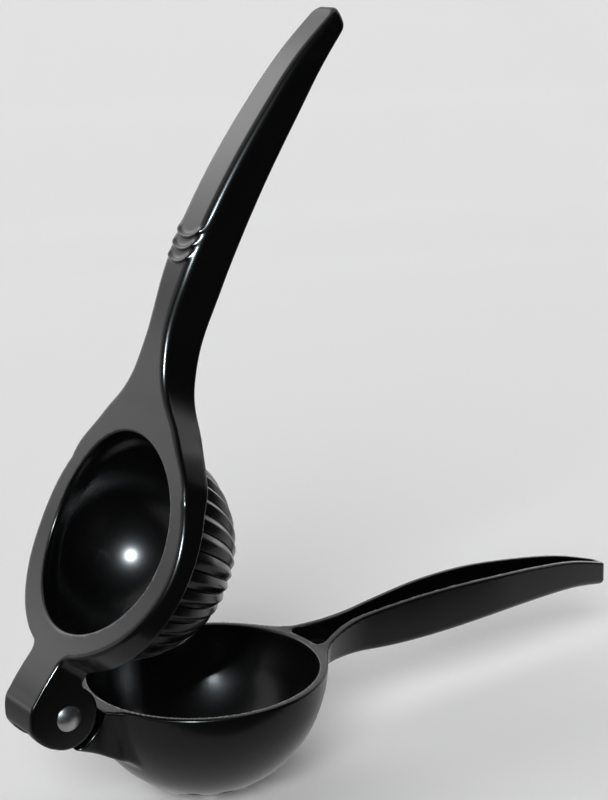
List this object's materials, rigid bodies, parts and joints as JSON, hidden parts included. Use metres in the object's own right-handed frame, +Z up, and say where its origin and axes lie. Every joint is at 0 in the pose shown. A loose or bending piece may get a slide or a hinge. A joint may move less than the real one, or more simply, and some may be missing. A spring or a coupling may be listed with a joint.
{
  "type": "hinged lemon squeezer",
  "caption": "Hinged citrus squeezer: a ribbed dome on the upper lever presses half a fruit into a perforated bowl on the lower lever.",
  "frame": {"origin": "centre of the small flat under the bowl, on which the tool stands", "axes": "+X from the bowl to the handle tips, Y along the hinge rivet, +Z up through the bowl's open rim"},
  "size_m": [0.2205, 0.072, 0.2212],
  "materials": {
    "enamel_lower": "gloss black enamel on cast aluminium",
    "enamel_upper": "gloss black enamel on cast aluminium",
    "rivet_steel": "polished steel"
  },
  "bodies": {
    "lower": {"lower_lever": "enamel_lower"},
    "upper": {"upper_lever": "enamel_upper", "hinge_rivet": "rivet_steel"}
  },
  "joints": [
    {"name": "hinge", "type": "hinge", "parent": "lower", "child": "upper", "pos_m": [-0.0485, 0, 0.03641], "axis": [0, -1, 0], "range_deg": [-61.3, 76]}
  ]
}
